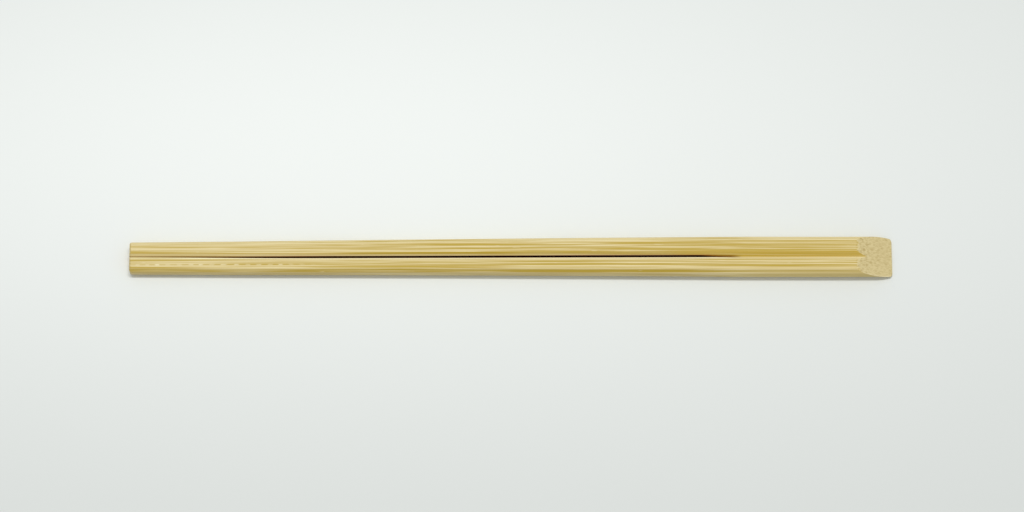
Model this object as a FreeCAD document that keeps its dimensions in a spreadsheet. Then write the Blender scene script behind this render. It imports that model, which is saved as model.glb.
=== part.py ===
import FreeCAD, Part
import math
import os
import Sketcher

# Disposable bamboo chopsticks, still joined: one bamboo bar that is sawn into two sticks from the
# tips almost to the handle end. A V groove runs along the top, where the pair is snapped apart, a
# shallow one along the underside, and the handle end is cut at a slant.
# The origin is under the middle of the bar, on the surface that it lies on. +X points to the
# slanted handle end, +Y to the far stick, and +Z up, out of the face that carries the slant.

# Driving dimensions in millimetres: alias, value, what it measures
SIZES = [
    ("pair_length", 210.0, "tips to the slanted end"),
    ("handle_straight", 40.0, "handle end to where the taper starts"),
    ("handle_width", 11.3, "across both sticks, at the widest point of their sides"),
    ("handle_thickness", 4.8, "underside to top face"),
    ("handle_bevel", 1.0, "outer long edges of the top at the handle, 45 degrees"),
    ("handle_bulge", 0.4, "how far the outer sides swell at mid height at the handle"),
    ("handle_groove", 1.2, "depth and half width of the top V groove at the handle"),
    ("tip_width", 9.0, "across both sticks at the tips"),
    ("tip_thickness", 3.9, "underside to top face at the tips"),
    ("tip_bevel", 0.8, "outer long edges of the top at the tips, 45 degrees"),
    ("tip_bulge", 0.3, "how far the outer sides swell at mid height at the tips"),
    ("tip_groove", 0.87, "depth and half width of the top V groove at the tips"),
    ("low_groove", 0.5, "depth and half width of the shallow V groove in the underside"),
    ("low_bevel", 0.65, "outer long edges of the underside, 45 degrees"),
    ("slit_setback", 41.7, "handle end to the slit's end in the top groove"),
    ("kerf_width", 0.58, "gap that the saw leaves between the sticks"),
    ("tip_gap", 0.12, "gap left at the tips, where the sticks spring together"),
    ("closing_length", 56.0, "tips to where the gap has its full width"),
    ("blade_radius", 100.0, "round saw blade that leaves the slit's curved end"),
    ("blade_overcut", 0.5, "how far the blade passes below the underside"),
    ("slant_length", 10.15, "slanted cut at the handle end, measured along the bar"),
    ("slant_edge", 0.8, "thickness that the slanted cut leaves at the end"),
    ("handle_corner", 1.2, "rounding of the handle end's corners, seen from above"),
    ("tip_corner", 1.0, "rounding of the tips' outer corners, seen from above"),
    ("tip_end_bevel", 0.35, "bevel of the tips' end faces, top and bottom"),
    ("corner_runout", 0.05, "how far a rounding's arc stands off the bar at its two ends"),
    ("cutter_margin", 2.0, "how far a cutting outline reaches past the bar"),
]

# The bar's cross-sections from the tips to the handle end: name, place along X, whose sizes it has
SECTIONS = [
    ("TipSection", "-Sizes.pair_length / 2", "tip"),
    ("TaperStart", "Sizes.pair_length / 2 - Sizes.handle_straight", "handle"),
    ("HandleSection", "Sizes.pair_length / 2", "handle"),
]

# Points of an edge and axes of a sketch, as a constraint numbers them
START, END, CENTRE = range(1, 4)
UPRIGHT_AXIS, LEVEL_AXIS = range(-2, 0)
ORIGIN = (LEVEL_AXIS, START)


def make_sheet(doc):
    """The spreadsheet, with one named cell for each driving dimension."""
    sheet = doc.addObject("Spreadsheet::Sheet", "Sizes")
    for row, (alias, value, meaning) in enumerate(SIZES, start=1):
        sheet.set(f"A{row}", alias)
        sheet.set(f"B{row}", str(value))
        sheet.set(f"C{row}", meaning)
        sheet.setAlias(f"B{row}", alias)
    doc.recompute()


def origin_plane(body, role):
    """One of the body's own three base planes."""
    return next(plane for plane in body.Origin.OriginFeatures if plane.Role == role)


def add_sketch(body, name, plane_role):
    """An empty sketch on one of the body's base planes."""
    sketch = body.newObject("Sketcher::SketchObject", name)
    sketch.AttachmentSupport = [(origin_plane(body, plane_role), "")]
    sketch.MapMode = "FlatFace"
    return sketch


def measure(sketch, expression):
    """What an expression on the sheet comes to, as a number to draw with."""
    return float(sketch.evalExpression(expression))


def constrain(sketch, kind, *places):
    """Adds one constraint without a size."""
    sketch.addConstraint(Sketcher.Constraint(kind, *places))


def bind(sketch, name, expression, kind, *places):
    """Adds a named dimension that follows an expression on the sheet."""
    dimension = Sketcher.Constraint(kind, *places, measure(sketch, expression))
    index = sketch.addConstraint(dimension)
    sketch.renameConstraint(index, name)
    sketch.setExpression(f"Constraints.{name}", expression)


def add_outline(sketch, corners, middles=None):
    """A closed outline through the corners. An edge with a middle is an arc, run anticlockwise."""
    middles = middles or {}
    corners = [FreeCAD.Vector(*corner) for corner in corners]
    edges = []
    for i, corner in enumerate(corners):
        following = corners[(i + 1) % len(corners)]
        shape = Part.LineSegment(corner, following)
        if i in middles:
            shape = Part.Arc(corner, FreeCAD.Vector(*middles[i]), following)
        edges.append(sketch.addGeometry(shape, False))
    for edge, following in zip(edges, edges[1:] + edges[:1]):
        constrain(sketch, "Coincident", edge, END, following, START)
    return edges


def add_mark(sketch, name, across, up):
    """A construction point, at distances to the right of the sketch's origin and above it."""
    place = FreeCAD.Vector(measure(sketch, across), measure(sketch, up))
    mark = sketch.addGeometry(Part.Point(place), True)
    bind(sketch, f"{name}Across", across, "DistanceX", *ORIGIN, mark, START)
    bind(sketch, f"{name}Up", up, "DistanceY", *ORIGIN, mark, START)
    return mark


def draw_section(body, name, place, end):
    """Both sticks cut across the bar at a place along X, with the sizes of the tips or the handle."""
    width = f"Sizes.{end}_width"
    thickness = f"Sizes.{end}_thickness"
    top_bevel = f"Sizes.{end}_bevel"
    low_bevel = "Sizes.low_bevel"
    bulge = f"Sizes.{end}_bulge"
    groove = f"Sizes.{end}_groove"
    low_groove = "Sizes.low_groove"
    side = f"{width} / 2 - {bulge}"
    side_rise = f"({thickness} - {top_bevel} - {low_bevel})"
    side_radius = f"({side_rise}^2 / 4 + {bulge}^2) / (2 * {bulge})"

    sketch = add_sketch(body, name, "YZ_Plane")
    sketch.setExpression("AttachmentOffset.Base.z", place)

    top = measure(sketch, thickness)
    cut = measure(sketch, top_bevel)
    low_cut = measure(sketch, low_bevel)
    notch = measure(sketch, groove)
    low_notch = measure(sketch, low_groove)
    edge_y = measure(sketch, side)
    crest_y = measure(sketch, f"{width} / 2")
    # Anticlockwise from the bottom of the lower groove, first up the far side
    far_half = [
        (low_notch, 0),
        (edge_y - low_cut, 0),
        (edge_y, low_cut),
        (edge_y, top - cut),
        (edge_y - cut, top),
        (notch, top),
    ]
    near_half = [(-y, z) for y, z in reversed(far_half)]
    corners = [(0, low_notch)] + far_half + [(0, top - notch)] + near_half
    far_side = corners.index((edge_y, low_cut))
    near_side = corners.index((-edge_y, top - cut))
    crest_z = (low_cut + top - cut) / 2
    middles = {far_side: (crest_y, crest_z), near_side: (-crest_y, crest_z)}
    edges = add_outline(sketch, corners, middles)

    half = len(edges) // 2
    far_edges, near_edges = edges[:half], edges[half:]
    low_wall, low_flat, low_slope, side_arc, top_slope, top_flat, top_wall = far_edges
    # The far half is the near half's mirror image, corner by corner.
    for far_edge, near_edge in zip(far_edges[1:], near_edges[-2::-1]):
        constrain(sketch, "Symmetric", far_edge, START, near_edge, END, UPRIGHT_AXIS)
    constrain(sketch, "Equal", side_arc, edges[near_side])
    constrain(sketch, "PointOnObject", low_wall, START, UPRIGHT_AXIS)
    constrain(sketch, "PointOnObject", top_wall, END, UPRIGHT_AXIS)
    constrain(sketch, "PointOnObject", low_flat, START, LEVEL_AXIS)
    constrain(sketch, "Horizontal", low_flat)
    constrain(sketch, "Horizontal", top_flat)
    constrain(sketch, "Vertical", side_arc, START, side_arc, END)

    bind(sketch, "Thickness", thickness, "DistanceY", *ORIGIN, top_flat, START)
    bind(sketch, "HalfWidth", side, "DistanceX", *ORIGIN, side_arc, START)
    bind(sketch, "SideRadius", side_radius, "Radius", side_arc)
    bind(sketch, "LowBevelAcross", low_bevel, "DistanceX", low_slope, START, low_slope, END)
    bind(sketch, "LowBevelUp", low_bevel, "DistanceY", low_slope, START, low_slope, END)
    bind(sketch, "TopBevelAcross", top_bevel, "DistanceX", top_slope, END, top_slope, START)
    bind(sketch, "TopBevelUp", top_bevel, "DistanceY", top_slope, START, top_slope, END)
    bind(sketch, "LowGrooveAcross", low_groove, "DistanceX", *ORIGIN, low_wall, END)
    bind(sketch, "LowGrooveUp", low_groove, "DistanceY", *ORIGIN, low_wall, START)
    bind(sketch, "TopGrooveAcross", groove, "DistanceX", *ORIGIN, top_wall, START)
    bind(sketch, "TopGrooveUp", groove, "DistanceY", top_wall, END, top_wall, START)
    return sketch


def make_bar(body):
    """The whole bar with its grooves and bevels, straight at the handle and tapered to the tips."""
    sections = [draw_section(body, *section) for section in SECTIONS]
    bar = body.newObject("PartDesign::AdditiveLoft", "Bar")
    bar.Profile = sections[0]
    bar.Sections = sections[1:]
    bar.Ruled = True
    return bar


def add_pocket(body, name, sketch, width=None):
    """Cuts a sketch to both sides of its plane, right through or to a total width."""
    pocket = body.newObject("PartDesign::Pocket", name)
    pocket.Profile = sketch
    pocket.SideType = "Symmetric"
    pocket.Type = "ThroughAll"
    if width:
        pocket.Type = "Length"
        pocket.setExpression("Length", width)
    sketch.Visibility = False
    return pocket


def cut_slant(body):
    """The slanted handle end, which rises from the end's thin edge to the top face."""
    end = "Sizes.pair_length / 2"
    top = "Sizes.handle_thickness"
    outer = f"{end} + Sizes.cutter_margin"
    upper = f"{top} + Sizes.cutter_margin"
    drop = f"({top} - Sizes.slant_edge)"
    beyond_top = f"Sizes.cutter_margin * Sizes.slant_length / {drop}"
    beyond_end = f"Sizes.cutter_margin * {drop} / Sizes.slant_length"

    sketch = add_sketch(body, "SlantOutline", "XZ_Plane")
    outer_x = measure(sketch, outer)
    upper_z = measure(sketch, upper)
    upper_x = measure(sketch, f"{end} - Sizes.slant_length - {beyond_top}")
    lower_z = measure(sketch, f"Sizes.slant_edge - {beyond_end}")
    edges = add_outline(sketch, [(upper_x, upper_z), (outer_x, lower_z), (outer_x, upper_z)])
    constrain(sketch, "Vertical", edges[1])
    constrain(sketch, "Horizontal", edges[2])
    bind(sketch, "Outer", outer, "DistanceX", *ORIGIN, edges[2], START)
    bind(sketch, "Upper", upper, "DistanceY", *ORIGIN, edges[2], START)
    high_end = add_mark(sketch, "HighEnd", f"{end} - Sizes.slant_length", top)
    low_end = add_mark(sketch, "LowEnd", end, "Sizes.slant_edge")
    for mark in (high_end, low_end):
        constrain(sketch, "PointOnObject", mark, START, edges[0])
    return add_pocket(body, "SlantCut", sketch)


def cut_slit(body):
    """The saw's slit at its full width, with the blade's curve at its handle end."""
    start_setback = "Sizes.pair_length / 2 - Sizes.closing_length"
    upper = "Sizes.handle_thickness + Sizes.cutter_margin"
    slit_end = "Sizes.pair_length / 2 - Sizes.slit_setback"
    groove_bottom = "Sizes.handle_thickness - Sizes.handle_groove"

    sketch = add_sketch(body, "SlitOutline", "XZ_Plane")
    start_x = -measure(sketch, start_setback)
    radius = measure(sketch, "Sizes.blade_radius")
    lower_z = -measure(sketch, "Sizes.blade_overcut")
    upper_z = measure(sketch, upper)
    axle_z = lower_z + radius
    end_rise = axle_z - measure(sketch, groove_bottom)
    axle_x = measure(sketch, slit_end) - math.sqrt(radius**2 - end_rise**2)

    def on_blade(z):
        return (axle_x + math.sqrt(radius**2 - (axle_z - z) ** 2), z)

    corners = [(start_x, lower_z), (axle_x, lower_z), on_blade(upper_z), (start_x, upper_z)]
    blade_edge = 1
    edges = add_outline(sketch, corners, {blade_edge: on_blade(upper_z / 2)})
    blade = edges[blade_edge]
    constrain(sketch, "Horizontal", edges[0])
    constrain(sketch, "Horizontal", edges[2])
    constrain(sketch, "Vertical", edges[3])
    constrain(sketch, "Vertical", blade, CENTRE, blade, START)
    bind(sketch, "StartSetback", start_setback, "DistanceX", edges[0], START, *ORIGIN)
    bind(sketch, "Overcut", "Sizes.blade_overcut", "DistanceY", edges[0], START, *ORIGIN)
    bind(sketch, "Upper", upper, "DistanceY", *ORIGIN, edges[3], START)
    bind(sketch, "BladeRadius", "Sizes.blade_radius", "Radius", blade)
    mark = add_mark(sketch, "SlitEnd", slit_end, groove_bottom)
    constrain(sketch, "PointOnObject", mark, START, blade)
    return add_pocket(body, "SlitCut", sketch, "Sizes.kerf_width")


def cut_closing_slit(body):
    """The slit's last stretch, which narrows to the tips. It ends in a point inside the full slit."""
    tips = "Sizes.pair_length / 2"

    sketch = add_sketch(body, "ClosingOutline", "XY_Plane")
    tips_x = -measure(sketch, tips)
    full_x = tips_x + measure(sketch, "Sizes.closing_length")
    kerf = measure(sketch, "Sizes.kerf_width")
    gap = measure(sketch, "Sizes.tip_gap")
    corners = [
        (tips_x, -gap / 2),
        (full_x, -kerf / 2),
        (full_x + kerf, 0),
        (full_x, kerf / 2),
        (tips_x, gap / 2),
    ]
    edges = add_outline(sketch, corners)
    constrain(sketch, "Symmetric", edges[0], START, edges[4], START, LEVEL_AXIS)
    constrain(sketch, "Symmetric", edges[1], START, edges[3], START, LEVEL_AXIS)
    constrain(sketch, "PointOnObject", edges[2], START, LEVEL_AXIS)
    bind(sketch, "Tips", tips, "DistanceX", edges[0], START, *ORIGIN)
    bind(sketch, "Length", "Sizes.closing_length", "DistanceX", edges[0], START, edges[1], START)
    bind(sketch, "Point", "Sizes.kerf_width", "DistanceX", edges[1], START, edges[2], START)
    bind(sketch, "TipGap", "Sizes.tip_gap", "DistanceY", edges[0], START, edges[4], START)
    bind(sketch, "FullGap", "Sizes.kerf_width", "DistanceY", edges[1], START, edges[3], START)
    return add_pocket(body, "ClosingCut", sketch)


def cut_tip_bevels(body):
    """The small bevels along the top and the bottom of the tips' end faces."""
    tips = "Sizes.pair_length / 2"
    leg = "Sizes.tip_end_bevel + Sizes.cutter_margin"
    upper = "Sizes.tip_thickness + Sizes.cutter_margin"

    sketch = add_sketch(body, "TipBevelOutlines", "XZ_Plane")
    tips_x = -measure(sketch, tips)
    reach = measure(sketch, leg)
    upper_z = measure(sketch, upper)
    lower_z = -measure(sketch, "Sizes.cutter_margin")
    high = add_outline(
        sketch, [(tips_x, upper_z), (tips_x, upper_z - reach), (tips_x + reach, upper_z)]
    )
    low = add_outline(
        sketch, [(tips_x, lower_z), (tips_x + reach, lower_z), (tips_x, lower_z + reach)]
    )
    for edges, name in ((high, "High"), (low, "Low")):
        level = edges[2] if edges is high else edges[0]
        upright = edges[0] if edges is high else edges[2]
        constrain(sketch, "Horizontal", level)
        constrain(sketch, "Vertical", upright)
        constrain(sketch, "Equal", level, upright)
        bind(sketch, f"{name}Tips", tips, "DistanceX", edges[0], START, *ORIGIN)
    bind(sketch, "HighLeg", leg, "DistanceY", high[1], START, high[0], START)
    bind(sketch, "LowLeg", leg, "DistanceY", low[0], START, low[2], START)
    bind(sketch, "Upper", upper, "DistanceY", *ORIGIN, high[0], START)
    bind(sketch, "Lower", "Sizes.cutter_margin", "DistanceY", low[0], START, *ORIGIN)
    return add_pocket(body, "TipBevels", sketch)


def add_corner_outline(sketch, end, direction):
    """What a rounded far corner loses. The direction along X is 1 at the handle and -1 at the tips."""
    radius = f"Sizes.{end}_corner"
    reach = "Sizes.pair_length / 2 + Sizes.corner_runout"
    side = f"Sizes.{end}_width / 2 + Sizes.corner_runout"
    outer = f"{reach} + Sizes.cutter_margin"
    upper = f"{side} + Sizes.cutter_margin"

    turn = measure(sketch, radius)
    end_x = direction * measure(sketch, reach)
    side_y = measure(sketch, side)
    outer_x = direction * measure(sketch, outer)
    upper_y = measure(sketch, upper)
    centre_x = end_x - direction * turn
    centre_y = side_y - turn
    lean = turn * math.sqrt(0.5)
    middle = (centre_x + direction * lean, centre_y + lean)

    # The arc comes first. It runs from the end to the side at the handle, and back at the tips.
    on_end = (end_x, centre_y)
    on_side = (centre_x, side_y)
    outside = [(centre_x, upper_y), (outer_x, upper_y), (outer_x, centre_y)]
    at_handle = direction > 0
    corners = [on_end, on_side] + outside if at_handle else [on_side, on_end] + outside[::-1]
    edges = add_outline(sketch, corners, {0: middle})

    arc = edges[0]
    end_point = (arc, START if at_handle else END)
    side_point = (arc, END if at_handle else START)
    outer_corner = (edges[3], START)
    for i, edge in enumerate(edges[1:]):
        upright = (i % 2 == 0) == at_handle
        constrain(sketch, "Vertical" if upright else "Horizontal", edge)
    constrain(sketch, "Horizontal", arc, CENTRE, *end_point)
    constrain(sketch, "Vertical", arc, CENTRE, *side_point)
    bind(sketch, f"{end}Radius", radius, "Radius", arc)
    for name, size, place in (("Reach", reach, end_point), ("Outer", outer, outer_corner)):
        span = (*ORIGIN, *place) if at_handle else (*place, *ORIGIN)
        bind(sketch, f"{end}{name}", size, "DistanceX", *span)
    bind(sketch, f"{end}Side", side, "DistanceY", *ORIGIN, *side_point)
    bind(sketch, f"{end}Upper", upper, "DistanceY", *ORIGIN, *outer_corner)


def round_corners(body):
    """The rounded outer corners of both ends, cut on the far stick and mirrored to the near one."""
    sketch = add_sketch(body, "CornerOutlines", "XY_Plane")
    add_corner_outline(sketch, "handle", 1)
    add_corner_outline(sketch, "tip", -1)
    far_corners = add_pocket(body, "FarCorners", sketch)

    near_corners = body.newObject("PartDesign::Mirrored", "NearCorners")
    near_corners.Originals = [far_corners]
    near_corners.MirrorPlane = (origin_plane(body, "XZ_Plane"), [""])
    body.Tip = near_corners
    return [far_corners, near_corners]


def make_pair(doc):
    """The one piece: both sticks in a single body. Returns it and its features in order."""
    body = doc.addObject("PartDesign::Body", "Pair")
    body.Label = "chopstick_pair"
    body.Placement = FreeCAD.Placement()
    features = [make_bar(body)]
    for cut in (cut_slant, cut_slit, cut_closing_slit, cut_tip_bevels):
        features.append(cut(body))
    features += round_corners(body)
    doc.recompute()
    return body, features


def check(doc, body, features):
    """Stops if anything failed, a sketch is loose, or a cut took nothing away."""
    for item in doc.Objects:
        if "Invalid" in item.State or "Error" in item.State:
            raise RuntimeError(f"{item.Name} failed: {item.State}")
        if item.TypeId == "Sketcher::SketchObject" and not item.FullyConstrained:
            raise RuntimeError(f"{item.Name} isn't fully constrained")
    for before, after in zip(features, features[1:]):
        removed = before.Shape.Volume - after.Shape.Volume
        print(f"{after.Name} removes {removed:.3f} cubic mm")
        if removed <= 0:
            raise RuntimeError(f"{after.Name} cuts nothing")
    shape = body.Shape
    if shape.isNull() or not shape.isValid() or len(shape.Solids) != 1:
        raise RuntimeError(f"{body.Label} isn't one valid solid")


def main():
    doc = FreeCAD.newDocument("Chopsticks")
    make_sheet(doc)
    body, features = make_pair(doc)
    check(doc, body, features)

    os.makedirs("parts", exist_ok=True)
    body.Shape.exportStep(f"parts/{body.Label}.step")
    box = body.Shape.optimalBoundingBox()
    print(f"{body.Label}: {box.XLength:.2f} x {box.YLength:.2f} x {box.ZLength:.2f} mm")
    print(f"Volume {body.Shape.Volume:.1f} cubic mm")


main()
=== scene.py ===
# %% [markdown]
# # A pair of bamboo chopsticks, still joined
# The object is one bamboo bar. A saw has slit it into two sticks from the tips almost to the
# handle end, and a V groove shows where the pair will be snapped apart.
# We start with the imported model, because it holds the true size and place of the piece. Every
# length below is in metres and in the frame of that model: +X runs to the slanted handle end, +Y
# to the far stick, and +Z up.

import math

import bpy
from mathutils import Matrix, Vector


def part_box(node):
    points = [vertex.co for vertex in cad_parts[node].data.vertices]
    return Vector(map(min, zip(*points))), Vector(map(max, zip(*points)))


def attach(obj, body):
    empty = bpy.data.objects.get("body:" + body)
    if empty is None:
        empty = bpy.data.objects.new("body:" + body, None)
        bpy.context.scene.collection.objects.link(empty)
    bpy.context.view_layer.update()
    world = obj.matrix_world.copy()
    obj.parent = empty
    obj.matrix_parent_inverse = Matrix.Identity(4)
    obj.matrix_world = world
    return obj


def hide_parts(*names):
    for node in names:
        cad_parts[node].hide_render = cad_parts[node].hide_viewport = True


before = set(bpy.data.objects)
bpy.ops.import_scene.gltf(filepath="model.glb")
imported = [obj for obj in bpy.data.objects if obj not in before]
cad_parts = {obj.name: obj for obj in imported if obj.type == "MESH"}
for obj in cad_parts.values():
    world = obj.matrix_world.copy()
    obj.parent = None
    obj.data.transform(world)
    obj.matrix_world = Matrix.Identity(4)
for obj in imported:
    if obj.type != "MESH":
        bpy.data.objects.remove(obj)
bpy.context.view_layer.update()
PAIR_NODE = "chopstick_pair"
lowest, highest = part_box(PAIR_NODE)
PAIR_LENGTH = highest.x - lowest.x
HANDLE_WIDTH = highest.y - lowest.y
HANDLE_THICKNESS = highest.z - lowest.z
MM = 0.001
print(f"Pair: {PAIR_LENGTH / MM:.1f} x {HANDLE_WIDTH / MM:.1f} x {HANDLE_THICKNESS / MM:.1f} mm")

# %% [markdown]
# ## Sums that become nodes
# Both the shape and the finish are node trees here. A tree of plain nodes is hard to read, so we
# wrap a socket in a small class that understands +, -, * and /. An expression in Python then adds
# the Math nodes for us, and the same class serves Geometry Nodes and materials.
# Any node that isn't a sum comes from one method, `add`, which takes the node's type, its
# settings and what its sockets get.

# %% Wires and graphs
class Wire:
    """One output socket of a node tree, which works in sums as a number does."""

    def __init__(self, graph, socket):
        self.graph = graph
        self.socket = socket

    def maths(self, operation, *values):
        inputs = dict(enumerate(values))
        return self.graph.add("ShaderNodeMath", {"operation": operation}, inputs)

    def __add__(self, other):
        return self.maths("ADD", self, other)

    def __radd__(self, other):
        return self.maths("ADD", other, self)

    def __sub__(self, other):
        return self.maths("SUBTRACT", self, other)

    def __rsub__(self, other):
        return self.maths("SUBTRACT", other, self)

    def __mul__(self, other):
        return self.maths("MULTIPLY", self, other)

    def __rmul__(self, other):
        return self.maths("MULTIPLY", other, self)

    def __truediv__(self, other):
        return self.maths("DIVIDE", self, other)

    def __rtruediv__(self, other):
        return self.maths("DIVIDE", other, self)

    def __pow__(self, other):
        return self.maths("POWER", self, other)

    def __abs__(self):
        return self.maths("ABSOLUTE", self)

    def at_least(self, other):
        return self.maths("MAXIMUM", self, other)

    def at_most(self, other):
        return self.maths("MINIMUM", self, other)

    def clamped(self):
        return self.at_least(0.0).at_most(1.0)

    def root(self):
        return self.maths("SQRT", self.at_least(0.0))

    def floor(self):
        return self.maths("FLOOR", self)

    def eased(self, start, end):
        """0 before start, 1 past end, and a smooth step between them."""
        share = ((self - start) / (end - start)).clamped()
        return share * share * (3.0 - 2.0 * share)

    def parts(self):
        """The three numbers of a vector."""
        separate = self.graph.add("ShaderNodeSeparateXYZ", {}, {0: self}).socket.node
        return [Wire(self.graph, socket) for socket in separate.outputs]


class Graph:
    """A node tree that is filled by Python expressions."""

    def __init__(self, tree):
        self.tree = tree

    def add(self, kind, settings=None, inputs=None, output=0):
        """Adds a node: first its settings, then the values or wires of its sockets."""
        node = self.tree.nodes.new(kind)
        for name, value in (settings or {}).items():
            setattr(node, name, value)
        for key, value in (inputs or {}).items():
            socket = node.inputs[key]
            for item in value if isinstance(value, list) else [value]:
                if isinstance(item, Wire):
                    self.tree.links.new(item.socket, socket)
                else:
                    socket.default_value = item
        return Wire(self, node.outputs[output]) if node.outputs else None

    def vector(self, x, y, z):
        return self.add("ShaderNodeCombineXYZ", {}, {0: x, 1: y, 2: z})


print("Helpers ready: Wire, Graph")

# %% [markdown]
# ## The sizes of the bar
# The frame gives the overall size. The rest are the maker's own values: how the bar tapers, how
# its long edges are bevelled, and what the saw leaves. Each becomes a named input of the tree,
# which the modifier fills before the result is kept as a plain mesh.

# %% Driving sizes
SIZES = {
    "pair length": PAIR_LENGTH,
    "handle width": HANDLE_WIDTH,
    "handle thickness": HANDLE_THICKNESS,
    "handle straight": 40.0 * MM,
    "handle bevel": 1.0 * MM,
    "handle bulge": 0.4 * MM,
    "handle groove": 1.2 * MM,
    "tip width": 9.0 * MM,
    "tip thickness": 3.9 * MM,
    "tip bevel": 0.8 * MM,
    "tip bulge": 0.3 * MM,
    "tip groove": 0.87 * MM,
    "low groove": 0.5 * MM,
    "low bevel": 0.65 * MM,
    "arris": 0.1 * MM,
    "slit setback": 41.7 * MM,
    "slit point": 11.0 * MM,
    "kerf": 0.58 * MM,
    "tip gap": 0.12 * MM,
    "closing length": 56.0 * MM,
    "blade radius": 100.0 * MM,
    "blade overcut": 0.5 * MM,
    "slant length": 10.15 * MM,
    "slant edge": 0.8 * MM,
    "handle corner": 1.2 * MM,
    "tip corner": 1.0 * MM,
    "tip end bevel": 0.35 * MM,
}
print(f"{len(SIZES)} driving sizes")

# %% [markdown]
# ## One stick as a walk round its section
# A saw and a plane shape the real bar, so all its faces follow one rule: a section that changes
# slowly along X. We could loft it from curves, or model it by hand and then bend it to fit. A
# rule is better here, because the slit, the taper and the slanted end must all agree.
# The rule starts from a flat grid. Its columns are stations along the bar, and its rows are steps
# of a walk round one stick's section: over the top, down the side, back underneath and up the
# wall of the slit. Each vertex is then moved to where that walk takes it.

# %% The walk round the section
# Steps on each edge of the section, in the order of the walk
SECTION_EDGES = {
    "groove wall": 6,
    "groove arris": 1,
    "top flat": 14,
    "top arris": 1,
    "top bevel": 5,
    "side arris": 1,
    "side": 10,
    "low bevel": 5,
    "low flat": 8,
    "low groove wall": 3,
    "uncut core": 2,
    "slit floor": 2,
    "slit wall": 5,
}
SECTION_ROWS = sum(SECTION_EDGES.values()) + 1

# Stations on each stretch of the bar, from the tips to the handle end
STRETCHES = {"tip cap": 8, "tip rounding": 10, "bar": 400, "handle rounding": 10, "handle cap": 8}
STATIONS = sum(STRETCHES.values()) + 1


def shares(place, counts):
    """How much of each stretch lies behind a place on a counted walk, from 0 to 1."""
    walked = {}
    start = 0
    for name, count in counts.items():
        walked[name] = ((place - start) / count).clamped()
        start += count
    return walked


print(f"{STATIONS} stations with {SECTION_ROWS} points each")

# %% [markdown]
# ## Along the bar
# On the real bar the tips come first and the round saw blade enters there, so its slit ends in an
# arc near the handle. We could cut that slit with a Boolean, but a rule keeps the mesh clean. It
# says where a station lies, how wide the slit is there, and how deep.

# %% Stations and the slit
# The stations stand closer together near the rounded ends, over this length
ROUNDING_LENGTH = 1.2 * MM


def station_place(size, along):
    """The distance along X of a station, before the slanted cut."""
    half = size["pair length"] / 2
    near_tips = ROUNDING_LENGTH * along["tip rounding"] * along["tip rounding"]
    middle = (size["pair length"] - 2 * ROUNDING_LENGTH) * along["bar"]
    left = 1.0 - along["handle rounding"]
    near_end = ROUNDING_LENGTH * (1.0 - left * left)
    return near_tips + middle + near_end - half


def slit_gap(size, x):
    """Half the width of the slit: narrow at the tips, pointed at its handle end."""
    half = size["pair length"] / 2
    opening = ((x + half) / size["closing length"]).clamped()
    width = size["tip gap"] + (size["kerf"] - size["tip gap"]) * opening
    point = ((half - size["slit setback"] - x) / size["slit point"]).clamped()
    return width / 2 * point


def blade_floor(size, x):
    """The height of the slit's floor, along the arc of the saw blade."""
    radius = size["blade radius"]
    axle_z = radius - size["blade overcut"]
    groove_bottom = size["handle thickness"] - size["handle groove"]
    rise = axle_z - groove_bottom
    slit_end = size["pair length"] / 2 - size["slit setback"]
    axle_x = slit_end - (radius * radius - rise * rise).root()
    past_axle = (x - axle_x).at_least(0.0)
    return axle_z - (radius * radius - past_axle * past_axle).root()


print(f"The slit stops {SIZES['slit setback'] / MM:.1f} mm before the handle end")

# %% [markdown]
# ## The corners of the section
# The plane has given each stick a flat top, bevels, a softly swelling side and a sloping groove
# wall. The tips' section is smaller than the handle's, so every size is blended between the two by
# how far the bar has tapered. Where two planed faces meet, two corners close together make the
# narrow arris that catches the light.

# %% The section's corners
def section_corners(size, x):
    """The corners of one stick's section at x, as (y, z), in the order of the walk."""
    taper_length = size["pair length"] - size["handle straight"]
    taper_start = size["pair length"] / 2 - size["handle straight"]
    taper = ((taper_start - x) / taper_length).clamped()

    def between(name):
        handle = size[f"handle {name}"]
        return handle + (size[f"tip {name}"] - handle) * taper

    top = between("thickness")
    bevel = between("bevel")
    bulge = between("bulge")
    groove = between("groove")
    half_width = between("width") / 2
    side = half_width - bulge
    low_groove = size["low groove"]
    low_bevel = size["low bevel"]
    arris = size["arris"]
    slope = arris * math.sqrt(0.5)

    gap = slit_gap(size, x)
    lip = top - groove + gap
    floor = blade_floor(size, x).at_least(low_groove - gap).at_most(lip)
    core = (low_groove - floor).at_least(0.0).at_most(gap)
    corners = [
        (gap, lip),
        (groove - slope, top - slope),
        (groove + arris, top),
        (side - bevel - arris, top),
        (side - bevel + slope, top - slope),
        (side - slope, top - bevel + slope),
        (side, top - bevel - arris),
        (side, low_bevel),
        (side - low_bevel, 0.0),
        (low_groove, 0.0),
        (core, low_groove - core),
        (core, floor),
        (gap, floor),
        (gap, lip),
    ]
    return corners, bulge, top, half_width


print("The section has", len(SECTION_EDGES), "edges:", ", ".join(SECTION_EDGES))

# %% [markdown]
# ## From the walk to a vertex
# A vertex lies at the first corner plus the share that it has walked of every edge. The side
# swells a little, so its edge gets a shallow arch. The ends are shaped by limits: a rounded corner
# limits how far out a vertex may stand, and the slanted cut limits how far along it may lie. The
# end faces are rings of the same walk, drawn together to a point.

# %% Walking and rounding
def walk_section(corners, bulge, share):
    """Where the walk round the section has got to, as (y, z)."""
    y, z = corners[0]
    for (here, following), name in zip(zip(corners, corners[1:]), share):
        y = y + (following[0] - here[0]) * share[name]
        z = z + (following[1] - here[1]) * share[name]
    # 4 * s * (1 - s) is an arch: 0 at both ends of the side and 1 in its middle
    arch = 4.0 * share["side"] * (1.0 - share["side"])
    return y + bulge * arch, z


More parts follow.
